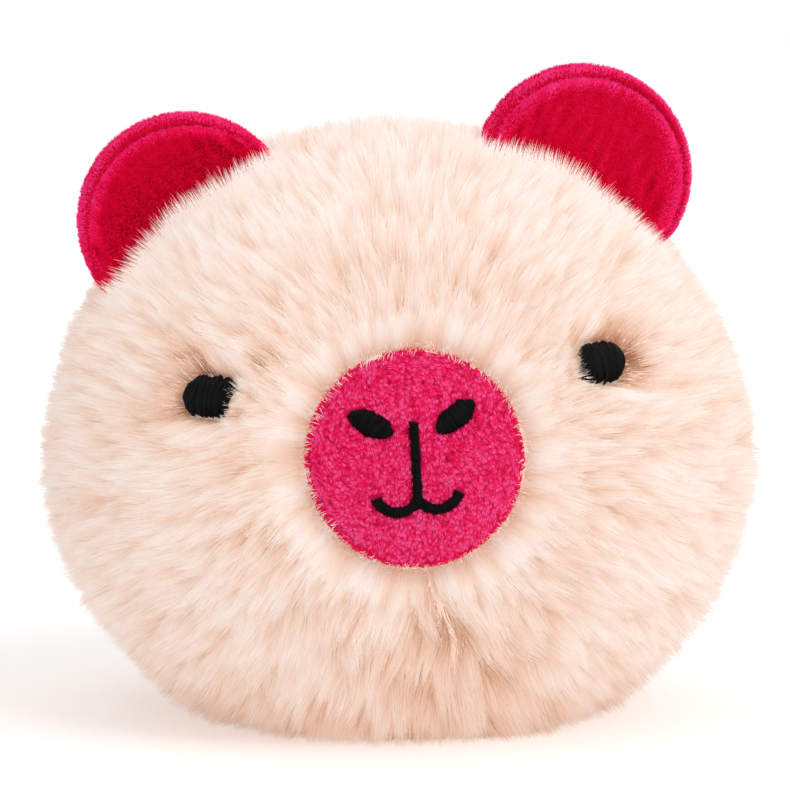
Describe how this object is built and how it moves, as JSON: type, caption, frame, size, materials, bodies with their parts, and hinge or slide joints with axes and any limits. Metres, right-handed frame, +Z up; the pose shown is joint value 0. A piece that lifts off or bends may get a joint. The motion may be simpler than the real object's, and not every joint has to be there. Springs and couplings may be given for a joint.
{
  "type": "plush capybara head",
  "caption": "Round stuffed animal head in long cream fur, with a pink plush muzzle disc, embroidered face and floppy pink plush ears; sits on a flattened base.",
  "frame": {"origin": "on the floor plane, under the middle of the head's flattened base", "axes": "+Z up, the face looks along -Y, +X is the picture's right and the longest extent"},
  "size_m": [0.1054, 0.0933, 0.098],
  "materials": {
    "cream_fur": "long soft pile",
    "pink_plush": "short dense pile",
    "black_thread": "satin stitch",
    "cream_thread": "matte sewing thread",
    "pink_thread": "matte sewing thread",
    "white_fill": "fibre fill and non-woven"
  },
  "bodies": {
    "head": {"face_panel": "cream_fur", "back_panel_left": "cream_fur", "back_panel_right": "cream_fur", "stuffing": "white_fill", "crown_seam_thread": "cream_thread", "back_seam_thread": "cream_thread", "closing_thread": "cream_thread", "chin_seam_thread": "cream_thread", "muzzle_seam_thread": "pink_thread", "muzzle_panel": "pink_plush", "muzzle_stabiliser": "white_fill", "philtrum": "black_thread", "nostril_left": "black_thread", "nostril_right": "black_thread", "mouth_left": "black_thread", "mouth_right": "black_thread", "eye_left": "black_thread", "eye_right": "black_thread", "ear_left_root": "pink_plush", "ear_right_root": "pink_plush"},
    "left_ear": {"ear_left_front_panel": "pink_plush", "ear_left_back_panel": "pink_plush", "ear_left_wadding": "white_fill", "ear_left_seam_thread": "pink_thread"},
    "right_ear": {"ear_right_front_panel": "pink_plush", "ear_right_back_panel": "pink_plush", "ear_right_wadding": "white_fill", "ear_right_seam_thread": "pink_thread"}
  },
  "joints": [
    {"name": "left_ear_fold", "type": "hinge", "parent": "head", "child": "left_ear", "pos_m": [-0.03497, -0.006, 0.07947], "axis": [0.7877, 0, 0.6161], "range_deg": [-70, 70], "stiffness_Nm_per_rad": 0.005},
    {"name": "right_ear_fold", "type": "hinge", "parent": "head", "child": "right_ear", "pos_m": [0.02773, -0.006, 0.08427], "axis": [0.8746, 0, -0.4849], "range_deg": [-70, 70], "stiffness_Nm_per_rad": 0.005}
  ]
}
